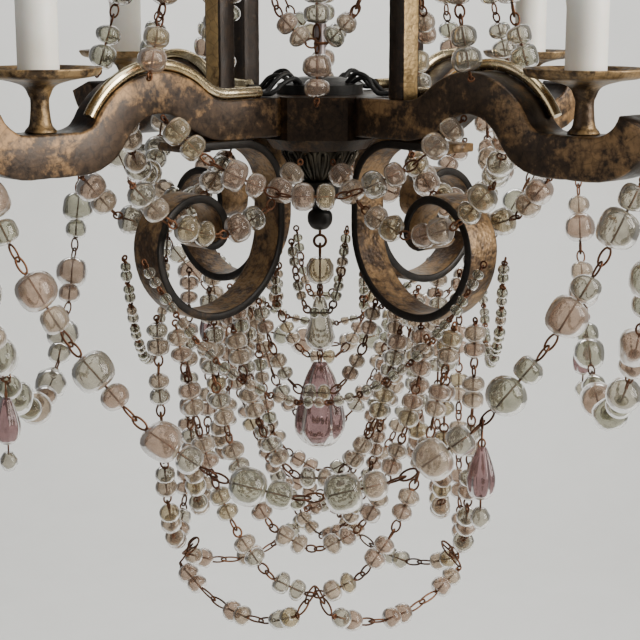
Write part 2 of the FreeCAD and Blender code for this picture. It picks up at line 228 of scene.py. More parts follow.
CROWN_LOOK = worn_gilt("crown_gilt", (0.03, 0.018, 0.008), CROWN_BROWN, (0.36, 0.23, 0.10), 0.5, 0.2, 0.55)
HUB_LOOK = worn_gilt("hub_wood", DEEP, (0.055, 0.032, 0.017), (0.18, 0.10, 0.045), 0.2)

BRASS = iron("worn_brass", (0.62, 0.49, 0.28), (0.92, 0.80, 0.56), 0.24, 1.0, 0.05)
BLACK = iron("black_iron", (0.012, 0.011, 0.010), (0.030, 0.027, 0.024), 0.42, 0.4)
RUSTY = iron("old_iron", (0.075, 0.035, 0.018), (0.16, 0.085, 0.045), 0.55, 0.75)
WIRE = iron("rusty_wire", (0.070, 0.027, 0.013), (0.17, 0.075, 0.036), 0.42, 0.8, 0.1)
CUP_LOOK = iron("dark_bronze", (0.030, 0.026, 0.020), (0.11, 0.095, 0.070), 0.36, 0.85)
TUBE_LOOK = iron("grey_tube", (0.16, 0.13, 0.13), (0.33, 0.29, 0.29), 0.4, 0.6, 0.05)
FLEX = iron("black_flex", (0.010, 0.010, 0.010), (0.022, 0.021, 0.020), 0.5, 0.0, 0.05)
SOCKET_LOOK = iron("socket_card", (0.62, 0.60, 0.54), (0.74, 0.72, 0.66), 0.6, 0.0, 0.05)

CLEAR = glass("glass_clear", (0.58, 0.54, 0.44), 0.60, 0.84, 0.10)
ROSE = glass("glass_rose", (0.58, 0.43, 0.33), 0.58, 0.74, 0.13)
BLUSH = glass("glass_blush", (0.63, 0.51, 0.39), 0.60, 0.72, 0.15)
GREENISH = glass("glass_greenish", (0.51, 0.495, 0.385), 0.60, 0.84, 0.10)
STRAW = glass("glass_straw", (0.61, 0.51, 0.34), 0.60, 0.78, 0.12)
AMETHYST = glass("glass_amethyst", (0.40, 0.25, 0.25), 0.62, 0.84, 0.08, 0.05)
LAMP_GLASS = glass("lamp_glass", (0.97, 0.96, 0.93), 0.97, 0.96, 0.02)


def candle_look():
    look = Look("candle_sleeve")
    stain = look.noise(22.0, 4.0)
    grain = look.noise(320.0, 3.0)
    colour = look.ramp(stain, [(0.35, (0.80, 0.76, 0.66)), (0.65, (0.90, 0.88, 0.81))])
    rough = look.ramp(grain, [(0.3, 0.38), (0.7, 0.52)])
    wax = {"Subsurface_Weight": 0.15, "Subsurface_Scale": 0.002}
    return look.finish(colour, rough, look.bump(stain, 0.4), **wax)


CANDLE = candle_look()


def filament_look():
    look = Look("filament")
    grey = look.ramp(look.noise(500.0), [(0.3, (0.25, 0.25, 0.25)), (0.7, (0.45, 0.44, 0.42))])
    return look.finish(grey, 0.4, Metallic=0.9)


FILAMENT = filament_look()


# ---------------------------------------------------------------- mesh tools

class Shape:
    """Collects the points and faces of one piece, in millimetres."""

    def __init__(self, name, looks, slot, body):
        self.name = name
        self.looks = looks
        self.slot = slot
        self.body = body
        self.points = []
        self.faces = []
        self.kinds = []

    def grid(self, rows, kind=0, ends=True):
        """Closed rows of points, each the same length, joined into a skin. kind is the look's
        number, or a list with one for each face of a row."""
        first = len(self.points)
        across = len(rows[0])
        kinds = kind if isinstance(kind, list) else [kind] * across
        for row in rows:
            self.points += row
        for i in range(len(rows) - 1):
            a = first + i * across
            b = a + across
            for j in range(across):
                k = (j + 1) % across
                self.faces.append((a + j, a + k, b + k, b + j))
            self.kinds += kinds
        if ends:
            last = first + (len(rows) - 1) * across
            self.faces.append(tuple(first + j for j in reversed(range(across))))
            self.faces.append(tuple(last + j for j in range(across)))
            self.kinds += [kinds[0]] * 2

    def make(self, nodes=()):
        """The Blender object, in metres; nodes are the CAD nodes that it stands for."""
        mesh = bpy.data.meshes.new(self.name)
        mesh.from_pydata([tuple(p * MM) for p in self.points], [], self.faces)
        for look in self.looks:
            mesh.materials.append(look)
        mesh.polygons.foreach_set("material_index", self.kinds)
        mesh.polygons.foreach_set("use_smooth", [True] * len(self.faces))
        mesh.update()
        made = bpy.data.objects.new(self.name, mesh)
        bpy.context.scene.collection.objects.link(made)
        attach(made, self.body)
        if nodes:
            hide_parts(*nodes)
        return made


def across_of(along):
    """Two directions square to a line."""
    side = along.cross(vec(0, 0, 1))
    if side.length < 0.1:
        side = along.cross(vec(0, 1, 0))
    side.normalize()
    return side, side.cross(along).normalized()


def ring(centre, u, v, ru, rv, count):
    turns = [2 * math.pi * i / count for i in range(count)]
    return [centre + u * (ru * math.cos(t)) + v * (rv * math.sin(t)) for t in turns]


def tube(shape, line, radius, kind=0, count=8, closed=False):
    """A round tube along a run of points."""
    rows = []
    n = len(line)
    u = None
    for i, p in enumerate(line):
        before = line[i - 1] if (i or closed) else p
        after = line[(i + 1) % n] if (i < n - 1 or closed) else p
        along = (after - before).normalized()
        if u is None:
            u, v = across_of(along)
        u = (u - along * u.dot(along)).normalized()
        v = along.cross(u)
        rows.append(ring(p, u, v, radius, radius, count))
    if closed:
        rows.append(rows[0])
    shape.grid(rows, kind, ends=not closed)


def oval(shape, centre, along, flat, half_length, half_width, radius, count=16):
    """A closed wire loop."""
    line = ring(centre, along, flat, half_length, half_width, count)
    tube(shape, line, radius, count=6, closed=True)


def smoothed_line(points, parts=5):
    """A run of points with Catmull-Rom points put between them."""
    found = []
    last = len(points) - 1
    for i in range(last):
        p0, p1, p2, p3 = (points[max(0, min(last, i + k))] for k in (-1, 0, 1, 2))
        for j in range(parts):
            t = j / parts
            bend = (2 * p0 - 5 * p1 + 4 * p2 - p3) * t + (3 * p1 - p0 - 3 * p2 + p3) * t * t
            found.append(0.5 * (2 * p1 + (p2 - p0 + bend) * t))
    found.append(points[-1])
    return found


def smoothed(profile, parts=5):
    """A turned part's profile, rounded, with its ends just off the axis."""
    line = smoothed_line([vec(r, 0, z) for r, z in profile], parts)
    return [(max(p.x, 0.01), p.z) for p in line]


def below(z, profile):
    """A profile given as (radius, depth below z)."""
    return [(r, z - depth) for r, depth in profile]


def above(z, profile):
    """A profile given as (radius, height over z)."""
    return [(r, z + height) for r, height in profile]


def lathe(shape, profile, centre, kind=0, count=32, wave=None):
    """A turned skin; wave(angle, share of the profile) scales the radius."""
    rows = []
    for i, (r, z) in enumerate(profile):
        row = []
        for j in range(count):
            a = 2 * math.pi * j / count
            k = wave(a, i / (len(profile) - 1)) if wave else 1.0
            row.append(vec(centre[0] + r * k * math.cos(a), centre[1] + r * k * math.sin(a), z))
        rows.append(row)
    shape.grid(rows, kind)


# ---------------------------------------------------------------- bent bars

def chain(start, heading, moves, step=4.0):
    """Tangent lines and arcs in the (r, z) plane, as states (r, z, heading)."""
    r, z = start
    h = math.radians(heading)
    found = [(r, z, h)]
    for move in moves:
        size = move[1] if move[0] == "line" else move[1] * math.radians(abs(move[2]))
        parts = max(2, round(size / step))
        for i in range(1, parts + 1):
            share = i / parts
            if move[0] == "line":
                d = move[1] * share
                state = (r + d * math.cos(h), z + d * math.sin(h), h)
            else:
                side = 1.0 if move[2] > 0 else -1.0
                h1 = h + math.radians(move[2]) * share
                cr, cz = r - side * move[1] * math.sin(h), z + side * move[1] * math.cos(h)
                state = (cr + side * move[1] * math.sin(h1), cz - side * move[1] * math.cos(h1), h1)
            found.append(state)
        r, z, h = found[-1]
    return found


BEAM_MOVES = [
    ("line", 40.0),
    ("arc", 40.0, 40.0),
    ("arc", 38.0, -100.0),
    ("arc", 24.0, 60.0),
    ("line", 32.0),
    ("arc", 30.0, 70.0),
]
BEAM_LINE = chain((HUB_APOTHEM, HUB_Z - BEAM_T / 2), 0, BEAM_MOVES)
STRIP_BEND = 30.0  # radius of the bend from the beam's underside into the drop beside the hub
STRIP_DROP = 22.0  # the straight stretch of that drop
STRIP_TURN = 50.0  # radius of the scroll's first quarter
STRIP_MOVES = [
    ("line", 45.0),
    ("arc", STRIP_BEND, 90.0),
    ("line", STRIP_DROP),
    ("arc", STRIP_TURN, 90.0),
    ("arc", 43.0, 90.0),
    ("arc", 29.0, 90.0),
    ("arc", 20.0, 90.0),
    ("arc", 9.0, 150.0),
]
STRIP_Z = HUB_Z - BEAM_T - STRIP_T / 2
STRIP_LINE = chain((118.0, STRIP_Z), 180, STRIP_MOVES, 3.0)
STRIP_DROP_Z = STRIP_Z - STRIP_BEND - STRIP_DROP
STRIP_FOOT_Z = STRIP_DROP_Z - STRIP_TURN
BAR_LINE = chain((BAR_R, HUB_Z), 90, [("line", 190.0), ("arc", 75.0, 68.0)])


def bent_bar(shape, line, thickness, width, side, arm, kinds, rounding, wobble=0.0):
    """kinds are the looks of the left face, the right face and the two sides. The edges are
    rounded off, and wobble dents the surface a little."""
    half, wide, b = thickness / 2, width / 2, rounding
    outline = [
        (half, -wide + b), (half, -wide / 3), (half, wide / 3), (half, wide - b),
        (half - b * 0.3, wide - b * 0.3), (half - b, wide), (0, wide), (-half + b, wide),
        (-half + b * 0.3, wide - b * 0.3), (-half, wide - b), (-half, wide / 3), (-half, -wide / 3),
        (-half, -wide + b), (-half + b * 0.3, -wide + b * 0.3), (-half + b, -wide), (0, -wide),
        (half - b, -wide), (half - b * 0.3, -wide + b * 0.3),
    ]
    kind = [kinds[0]] * 3 + [kinds[2]] * 6 + [kinds[1]] * 3 + [kinds[2]] * 6
    spin = turn_z(90 * arm)
    rows = []
    for i, (r, z, h) in enumerate(line):
        row = []
        for j, (off, y) in enumerate(outline):
            shake = wobble * math.sin(i * 1.7 + j * 2.3 + arm) * math.sin(i * 0.61 + arm)
            off = off - math.copysign(abs(shake), off)
            row.append(spin @ vec(r - off * math.sin(h), y + side, z + off * math.cos(h)))
        rows.append(row)
    shape.grid(rows, kind)


def arms():
    for arm in range(4):
        n = arm + 1
        beam = Shape(f"beam_{n}", [BEAM_SIDE, BEAM_EDGE], "gilt_wood", "chandelier")
        bent_bar(beam, BEAM_LINE, BEAM_T, BEAM_W, 0.0, arm, (1, 1, 0), 1.6, 0.35)
        beam.make([f"arm_beam_{n}"])
        strip = Shape(f"scroll_{n}", [STRIP_FACE, STRIP_EDGE_UNGILT_SHADED], "gilt_iron", "chandelier")
        # The strip's two sides take the near-black edge look, which is partly painted shade.
        bent_bar(strip, STRIP_LINE, STRIP_T, STRIP_W, 0.0, arm, (0, 0, 1), 0.9, 0.12)
        strip.make([f"lower_scroll_{n}"])
        bar = Shape(f"bar_{n}", [BAR_FACE, BAR_DARK], "gilt_wood", "chandelier")
        bent_bar(bar, BAR_LINE, BAR_T, BAR_W, BAR_SIDE, arm, (1, 0, 1), 1.2, 0.25)
        bar.make([f"cage_bar_{n}"])


# ---------------------------------------------------------------- bead strings

def steepness(ratio):
    low, high = 0.01, 8.0
    for _ in range(40):
        c = (low + high) / 2
        if (math.cosh(c) - 1) / c < ratio:
            low = c
        else:
            high = c
    return c


def hanging(a, b, sag, bow=0.0):
    """A catenary from a to b, as a function of 0 to 1."""
    middle = (a + b) * 0.5
    flat = vec(middle.x, middle.y, 0)
    out = flat.normalized() if flat.length > 1 else vec(0, 0, 0)
    c = steepness(2 * sag / (b - a).length)

    def at(t):
        lift = (math.cosh(c) - math.cosh(c * (2 * t - 1))) / (math.cosh(c) - 1)
        return a + (b - a) * t + out * (bow * lift) - vec(0, 0, sag * lift)

    return at


def strung(at, sizes, link, start=5.0, steps=400):
    """Straight wires along a line, each as (first end, last end, direction)."""
    points = [at(i / steps) for i in range(steps + 1)]
    reach = [0.0]
    for p, q in zip(points, points[1:]):
        reach.append(reach[-1] + (q - p).length)

    def place(s):
        i = 0
        while i < steps - 1 and reach[i + 1] < s:
            i += 1
        share = (s - reach[i]) / (reach[i + 1] - reach[i])
        return points[i] + (points[i + 1] - points[i]) * share

    wire = sum(length for length, _ in sizes) + BEAD_GAP * (len(sizes) - 1)
    room = reach[-1] - 2 * start + link
    count = int(room // (wire + link))
    spare = (room - count * (wire + link)) / max(count - 1, 1)
    wires = []
    for i in range(count):
        s = start + i * (wire + link + spare)
        a, b = place(s), place(s + wire)
        along = (b - a).normalized()
        first = (a + b) * 0.5 - along * (wire / 2)
        wires.append((first, first + along * wire, along))
    return wires


def bead(shape, centre, along, length, width, rng, looks):
    """A pressed glass bead: a squat rounded barrel, never quite regular."""
    u, v = across_of(along)
    turn = rng.uniform(0, 6.28)
    u, v = u * math.cos(turn) + v * math.sin(turn), v * math.cos(turn) - u * math.sin(turn)
    wide, deep = rng.uniform(0.90, 1.0) * width / 2, rng.uniform(0.90, 1.0) * width / 2
    half = rng.uniform(0.92, 1.0) * length / 2
    full = rng.uniform(2.1, 3.0)
    ripple, phase = rng.uniform(0.0, 0.05), rng.uniform(0, 6.28)
    lobes = rng.choice((2, 3, 3, 5, 8))
    lean = rng.uniform(-0.18, 0.18)
    rows = []
    count, rings = 20, 12
    for i in range(rings):
        t = math.sin((-1 + 2 * (i + 0.5) / rings) * math.pi / 2)
        r = max(0.22, (1 - abs(t * 0.99) ** full) ** (1 / full))
        row = []
        for j in range(count):
            a = 2 * math.pi * j / count
            k = r * (1 + ripple * math.sin(lobes * a + phase + 2 * t)) / (1 + ripple)
            side = u * (k * wide * math.cos(a)) + v * (k * deep * math.sin(a))
            row.append(centre + side + along * (half * t * (1 + lean * math.cos(a) * r)))
        rows.append(row)
    shape.grid(rows, rng.choice(looks))


def eye(shape, start, end, flat, wide):
    """One closed wire loop from start to end."""
    along = (end - start).normalized()
    oval(shape, (start + end) * 0.5, along, flat, (end - start).length / 2, wide, WIRE_R)


def string_pieces(name, node, strings, slot, mix, seed, ties=()):
    """One piece of glass and one of wire for a node's strings; mix numbers the glasses."""
    rng = random.Random(seed)
    beads = Shape(f"{name}_beads", GLASSES, slot, "chandelier")
    wires = Shape(f"{name}_wires", [WIRE], "wire", "chandelier")
    for line, sizes, link in strings:
        last = line(0.0)
        for start, end, along in strung(line, sizes, link):
            shift = vec(rng.uniform(-1, 1), rng.uniform(-1, 1), rng.uniform(-1, 1)) * 0.4
            used = 0.0
            for length, width in sizes:
                tilt = vec(rng.uniform(-1, 1), rng.uniform(-1, 1), rng.uniform(-1, 1)) * 0.07
                centre = start + along * (used + length / 2) + shift
                bead(beads, centre, (along + tilt).normalized(), length, width, rng, mix)
                used += length + BEAD_GAP
            tube(wires, [start + shift - along, end + shift + along], WIRE_R + 0.12, count=8)
            join_wires(wires, last, start + shift, rng)
            last = end + shift
        join_wires(wires, last, line(1.0), rng)
    for a, b in ties:
        join_wires(wires, a, b, rng)
    beads.make([node])
    wires.make()


def join_wires(wires, a, b, rng):
    """Two wire eyes, one through the other, between one bead and the next."""
    gap = b - a
    if gap.length < 2.0:
        return
    along = gap.normalized()
    u, v = across_of(along)
    turn = rng.uniform(0, 3.14)
    u, v = u * math.cos(turn) + v * math.sin(turn), v * math.cos(turn) - u * math.sin(turn)
    droop = vec(0, 0, -0.5)
    wide = min(2.6, 0.24 * gap.length + 0.5)
    eye(wires, a, a + gap * rng.uniform(0.55, 0.62) + droop, u, wide * rng.uniform(0.85, 1.05))
    eye(wires, b - gap * rng.uniform(0.55, 0.62) + droop, b, v, wide * rng.uniform(0.85, 1.05))


def at_side(r, side, z, degrees):
    return polar(math.hypot(r, side), degrees + math.degrees(math.atan2(side, r)), z)


# bead (length, width) on one wire
BIG = [(21.0, 24.0), (14.0, 17.0)]
ROUND = [(14.0, 18.0), (11.5, 16.0)]
MIDDLE = [(10.5, 14.5), (10.0, 14.0)]
SMALL = [(9.0, 11.5), (8.5, 11.0)]
SEED = [(6.5, 7.5), (6.0, 7.0)]
GLASSES = [CLEAR, ROSE, BLUSH, GREENISH, STRAW]


def pair(k, r, side, z, sag, bow=0.0):
    here, there = 90.0 * k, 90.0 * (k + 1)
    return hanging(at_side(r, side, z, here), at_side(r, -side, z, there), sag, bow)


def outer_swag(k):
    return [(pair(k, 252.0, 9.0, PAN_Z - BEAM_T + 6, 174.0), BIG, 13.0)]


BASKET_Z = STRIP_FOOT_Z - 9.0
LOW_SAG = 170.0  # of the lowest basket swag
TIE_DROP = 14.0  # from that swag's lowest point to the ends of the ties
TIE_Z = BASKET_Z + 11 - LOW_SAG - TIE_DROP
TIE_R = 94.0
TIE_ENDS = (51.0, 129.0)  # degrees round from the arm


def basket_swags(k):
    """Four nested swags, and one that ties the lowest of them to the next arm pair's."""
    here, there = (polar(TIE_R, 90.0 * k + turn, TIE_Z) for turn in TIE_ENDS)
    return [
        (pair(k, 60.0, 9.0, BASKET_Z + 15, 62.0), SMALL, 9.0),
        (pair(k, 81.0, 9.0, BASKET_Z + 2, 100.0), MIDDLE, 11.0),
        (pair(k, 103.0, 9.0, BASKET_Z, 136.0), MIDDLE, 11.0),
        (pair(k, 125.0, 9.0, BASKET_Z + 11, LOW_SAG), MIDDLE, 11.0),
        (hanging(here, there, 18.0), MIDDLE, 11.0),
    ]


def tie_links(k):
    """The wires that hold the ends of a tie to the lowest swags, half way between two arms."""
    found = []
    for turn, middle in zip(TIE_ENDS, (45.0, 135.0)):
        end = polar(TIE_R, 90.0 * k + turn, TIE_Z)
        found.append((end, polar(82.0, 90.0 * k + middle, TIE_Z + TIE_DROP)))
    return found


def hub_swags(k):
    middle = 90.0 * k + 45
    z, meet = HUB_Z - 40, HUB_Z - 36
    left = hanging(at_side(166.0, 24.0, z, 90.0 * k), polar(58.0, middle - 9, meet), 38.0)
    right = hanging(at_side(166.0, -24.0, z, 90.0 * k + 90), polar(58.0, middle + 9, meet), 38.0)
    front = pair(k, 138.0, 18.0, HUB_Z - 6, 46.0)
    return [(left, ROUND, 11.0), (right, ROUND, 11.0), (front, ROUND, 11.0)]


def seed_swags(k):
    return [
        (pair(k, 32.0, 8.0, STRIP_DROP_Z - 10, 50.0), SEED, 5.0),
        (pair(k, 147.0, 9.0, HUB_Z - 88, 84.0), SEED, 5.0),
    ]


def cage_strands(k):
    here, middle, there = 90.0 * k, 90.0 * k + 45, 90.0 * k + 90
    foot, top = HUB_Z + 14, HUB_Z + 196
    left = hanging(at_side(150.0, 23.0, foot, here), at_side(104.0, 12.0, top, here), 12.0)
    right = hanging(at_side(150.0, -27.0, foot, there), at_side(104.0, -16.0, top, there), 12.0)
    drop = hanging(polar(34.0, middle, CROWN_Z - 6), polar(64.0, middle, HUB_Z - 4), 3.0)
    return [
        (left, ROUND, 11.0),
        (right, ROUND, 11.0),
        (pair(k, BAR_R - 14, 8.0, HUB_Z + 176, 84.0, 17.0), MIDDLE, 11.0),
        (pair(k, BAR_R - 14, 8.0, HUB_Z + 116, 84.0, 17.0), MIDDLE, 11.0),
        (drop, ROUND, 11.0),
    ]


def cross_strings():
    found = []
    for k, sag in ((0, 152.0), (1, 170.0)):
        a = polar(70.0, 90.0 * k, STRIP_FOOT_Z + 6)
        b = polar(70.0, 90.0 * k + 180, STRIP_FOOT_Z + 6)
        found.append((hanging(a, b, sag), SMALL, 9.0))
    return found


def all_strings():
    """Each string's glass is picked from GLASSES; a number listed twice comes twice as often."""
    for k in range(4):
        n = k + 1
        kinds = (
            ("outer", "outer_swag", outer_swag, "glass_clear", (0, 1, 1, 3, 2)),
            ("basket", "basket_swags", basket_swags, "glass_blush", (1, 1, 2, 2, 4, 0)),
            ("hub", "hub_swags", hub_swags, "glass_blush", (1, 1, 2, 0, 4)),
            ("seed", "seed_swags", seed_swags, "glass_clear", (0, 3, 3, 2)),
            ("cage", "cage_strands", cage_strands, "glass_blush", (1, 1, 2, 0, 4, 3)),
        )
        for i, (name, node, rule, slot, mix) in enumerate(kinds):
            ties = tie_links(k) if name == "basket" else ()
            string_pieces(f"{name}_{n}", f"{node}_{n}", rule(k), slot, mix, 10 * i + n, ties)
    string_pieces("cross", "cross_strings", cross_strings(), "glass_clear", (0, 1, 2, 3), 60)


# ---------------------------------------------------------------- drops

def pleated(count, depth):
    """The ribs of a pressed drop, deepest half way down."""

    def wave(a, t):
        rib = 0.5 + 0.5 * math.cos(count * a + 1.2 * t)
        return 1 - depth * math.sin(math.pi * min(1.0, t * 1.05)) * rib

    return wave


DROP_LOOP_R = 3.2
DROP_WIRE_R = 0.6
DROP_STEM = 10.0
DROP_H = 29.0
BALL_GAP = 5.0  # from the amethyst to the cut ball under it


def swag_drop(n):
    """A hooked amethyst drop with a cut crystal ball below it."""
    node = f"swag_drop_{n}"
    lo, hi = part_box(node)
    x, y, top = (lo[0] + hi[0]) * 500, (lo[1] + hi[1]) * 500, hi[2] * 1000
    loop = top - DROP_LOOP_R - DROP_WIRE_R
    z = loop - DROP_LOOP_R - DROP_STEM
    glass_part = Shape(f"drop_{n}", [AMETHYST, CLEAR], "glass_amethyst", node)
    form = [(0, 0), (2.5, 0), (5.5, 7), (7.4, 13), (8.2, 18), (7, 25), (3.4, 28.4), (0, DROP_H)]
    lathe(glass_part, smoothed(below(z, form)), (x, y), 0, 40, pleated(8, 0.13))
    z2 = z - DROP_H - BALL_GAP
    ball = [(0, 0), (3, 0), (5.5, 4), (5.5, 7), (3, 11), (0, 12)]
    lathe(glass_part, below(z2, ball), (x, y), 1, 8)
    glass_part.make([node])
    wire = Shape(f"drop_{n}_wire", [WIRE], "wire", node)
    swag = polar(1, 90.0 * n + 45, 0)
    up = vec(0, 0, 1)
    oval(wire, vec(x, y, loop), up, swag.cross(up), DROP_LOOP_R, DROP_LOOP_R, DROP_WIRE_R)
    tube(wire, [vec(x, y, loop - DROP_LOOP_R), vec(x, y, z - 2)], DROP_WIRE_R, count=6)
    oval(wire, vec(x, y, z + 2.2), up, swag, 2.4, 1.8, 0.55)
    tube(wire, [vec(x, y, z - DROP_H + 1), vec(x, y, z2 - 1)], DROP_WIRE_R, count=6)
    wire.make()


def drops():
    for n in range(1, 5):
        swag_drop(n)


PENDANT_LOOP_R = 4.0
PENDANT_WIRE_R = 0.8
CLEAR_H = 17.0
PEAR_H = 36.0


def pendant_eye(wire, low, high, turn, wide):
    """An upright wire eye on the pendant's line."""
    middle = vec(0, 0, (low + high) / 2)
    oval(wire, middle, vec(0, 0, 1), polar(1, turn, 0), (high - low) / 2, wide, 0.65)


def centre_pendant():
    """A clear bead, a cut pear bead and the great amethyst drop on wire links."""
    loop = corner("centre_pendant_beads", 1, 2) - PENDANT_WIRE_R - PENDANT_LOOP_R
    z = loop - PENDANT_LOOP_R - PENDANT_WIRE_R
    beads = Shape("pendant_glass", [CLEAR, STRAW], "glass_clear", "centre_pendant")
    clear = [(0, 0), (4.5, 0), (6.5, 1), (9, 5.5), (9, 11.5), (6.5, 16), (4.5, 17), (0, CLEAR_H)]
    lathe(beads, below(z, clear), (0, 0), 1, 20)
    z2 = z - CLEAR_H - 9
    pear = [(0, 0), (3, 0), (4.4, 4), (6, 12), (8.2, 20), (10, 27), (8.4, 32), (4, 35.5), (0, PEAR_H)]
    lathe(beads, below(z2, pear), (0, 0), 0, 8)
    beads.make(["centre_pendant_beads"])
    z3 = z2 - PEAR_H - 7
    wire = Shape("pendant_wire", [WIRE], "wire", "centre_pendant")
    hook = polar(1, 45, 0)
    oval(wire, vec(0, 0, loop), vec(0, 0, 1), hook, PENDANT_LOOP_R, PENDANT_LOOP_R, PENDANT_WIRE_R, 20)
    tube(wire, [vec(0, 0, loop - PENDANT_LOOP_R), vec(0, 0, z2 - 3)], PENDANT_WIRE_R, count=6)
    pendant_eye(wire, z2 + 0.4, z2 + 5.2, 0, 2.2)
    pendant_eye(wire, z2 + 3.8, z - CLEAR_H - 0.2, 90, 2.2)
    pendant_eye(wire, z3 - 0.5, z3 + 4.2, 20, 2.0)
    pendant_eye(wire, z3 + 2.8, z2 - PEAR_H + 0.5, 110, 2.0)
    wire.make()
    drop = Shape("pendant_drop", [AMETHYST], "glass_amethyst", "centre_pendant")
    form = [
        (0, 0), (4, 0), (6.6, 4), (10.5, 12), (14, 24), (16.3, 33),
        (17.2, 40), (16.4, 47), (11, 54.5), (5, 57.4), (0, 58),
    ]
    lathe(drop, smoothed(below(z3, form)), (0, 0), 0, 60, pleated(8, 0.15))
    drop.make(["centre_drop"])


# ---------------------------------------------------------------- turned parts

CUP_LEAVES = 14


def leaf_cup():
    """A cast cup with a raised leaf outline and midrib, repeated round it."""
    z = CUP_Z
    cup = Shape("cup", [CUP_LOOK], "dark_bronze", "chandelier")
    profile = [(0, 0), (21, 0), (22, 3), (18, 11), (11.5, 18), (8, 21), (0, 21)]
    lathe(cup, smoothed(below(z, profile), 4), (0, 0), 0, 48)
    rib = below(z, [(10.5, 19.5), (15, 15.5), (20, 9.5), (23.6, 3), (24.2, 0.6)])
    half_widths = (0.96, 2.08, 3.36, 3.68, 2.08)
    for i in range(CUP_LEAVES):
        a = 360 / CUP_LEAVES * i
        spine = [polar(r, a, height) for r, height in rib]
        side = polar(1, a + 90, 0)
        left = [p - side * w for p, w in zip(spine, half_widths)]
        right = [p + side * w for p, w in zip(spine, half_widths)]
        tube(cup, left + list(reversed(right)), 0.75, count=6, closed=True)
        tube(cup, [p + polar(0.5, a, 0) for p in spine[:4]], 1.1, count=6)
    cup.make(["leaf_cup"])


def finial():
    knob = Shape("knob", [BLACK], "black_iron", "chandelier")
    profile = [
        (0, 0), (11, 0), (12.4, 2), (13, 5), (12, 10), (8, 15), (5.0, 18), (5.6, 18.8),
        (7.6, 21), (8, 24), (7.4, 27.5), (4.5, 31), (0, 32),
    ]
    lathe(knob, smoothed(below(FINIAL_Z, profile), 4), (0, 0), 0, 40)
    knob.make(["finial"])


def crown():
    plate = Shape("crown", [CROWN_LOOK], "gilt_iron", "chandelier")
    profile = [
        (0, 0), (44, 0), (46, 0.6), (50.4, 3.8), (51, 6), (50, 8.4), (42, 11), (36, 15),
        (33, 18), (24, 20), (16, 22), (13, 24), (12, 25.6), (0, 26),
    ]

    def scallop(a, t):
        return 1 - 0.03 * (0.5 + 0.5 * math.cos(24 * a)) * math.sin(math.pi * min(1, t))

    lathe(plate, smoothed(above(CROWN_Z, profile), 4), (0, 0), 0, 144, scallop)
    plate.make(["crown_plate"])


PAN_PROFILE = [
    (0, 0), (8, 0), (8.2, 1.6), (6, 5), (5, 16), (6, 20), (9, 25), (18, 28), (30, 30),
    (33.4, 33), (33.8, 34.6), (32.6, 34.6), (28, 32.2), (20, 30), (13, 29.4), (12, 31), (0, 31),
]
BULB_PROFILE = [
    (0, 11.5), (6.6, 11.5), (7, 13), (9, 16), (12.5, 24), (15.2, 35), (15, 43),
    (12.6, 54), (8.4, 66), (4.6, 76), (2.2, 83), (0, 86),
]
THREAD_PITCH = 2.4


def cap_profile():
    """The screw cap of a candle lamp."""
    cap = [(0, 0), (4, 0), (6.2, 1.5)]
    for i in range(4):
        cap += [(6.9, 2.4 + i * THREAD_PITCH), (6.2, 3.6 + i * THREAD_PITCH)]
    return cap + [(7, 12), (7, 13), (0, 13)]


def filament(shape, foot):
    """The glass stem's support wires and the coil between them."""
    tube(shape, [foot + vec(0, 0, 12), foot + vec(0, 0, 26)], 2.0, count=10)
    for side in (-1, 1):
        line = [(side * 1.2, 25), (side * 2.0, 34), (side * 3.0, 44), (side * 2.2, 47)]
        tube(shape, [foot + vec(x, 0, height) for x, height in line], 0.3, count=6)
    coil = []
    for i in range(25):
        swing, arch = i * 1.6, 4 * math.sin(math.pi * i / 24)
        spot = vec(-2.2 + 4.4 * i / 24, 0.7 * math.cos(swing), 47 + arch + 0.7 * math.sin(swing))
        coil.append(foot + spot)
    tube(shape, coil, 0.15, count=5)


def lamps():
    pans = Shape("pans", [CROWN_LOOK], "gilt_iron", "chandelier")
    bulbs = Shape("bulbs", [LAMP_GLASS], "lamp_glass", "chandelier")
    caps = Shape("bulb_caps", [BRASS], "brass", "chandelier")
    threads = Shape("bulb_wires", [FILAMENT], "steel_tube", "chandelier")

    def petals(a, t):
        return 1 - (0.035 * (0.5 - 0.5 * math.cos(10 * a)) if 0.45 < t < 0.85 else 0.0)

    for arm in range(4):
        spot = polar(CANDLE_R, 90 * arm, 0)
        lathe(pans, smoothed(above(PAN_Z, PAN_PROFILE), 4), spot, 0, 80, petals)
        lathe(bulbs, smoothed(above(LAMP_Z, BULB_PROFILE), 4), spot, 0, 32)
        lathe(caps, smoothed(above(LAMP_Z, cap_profile()), 3), spot, 0, 32)
        filament(threads, vec(spot.x, spot.y, LAMP_Z))
    pans.make(["drip_pans"])
    bulbs.make(["candle_lamps"])
    caps.make()
    threads.make()


SLEEVE_SKIN_R = 11.2  # under the moulded drips
SLEEVE_RUNS = 7


def drip_height(a, down, runs):
    """How far the moulded wax stands out at an angle, this far below the sleeve's top."""
    highest = 0.0
    for at, length, width in runs:
        off = (a - at + math.pi) % (2 * math.pi) - math.pi
        swell = 1.0 + 0.5 * math.exp(-((down - length + 4) / 4) ** 2)
        fade = 1 / (1 + math.exp((down - length) / 1.2))
        spread = width * (0.8 + 0.2 * swell)
        highest = max(highest, 1.5 * swell * fade * math.exp(-((off / spread) ** 2)))
    return highest


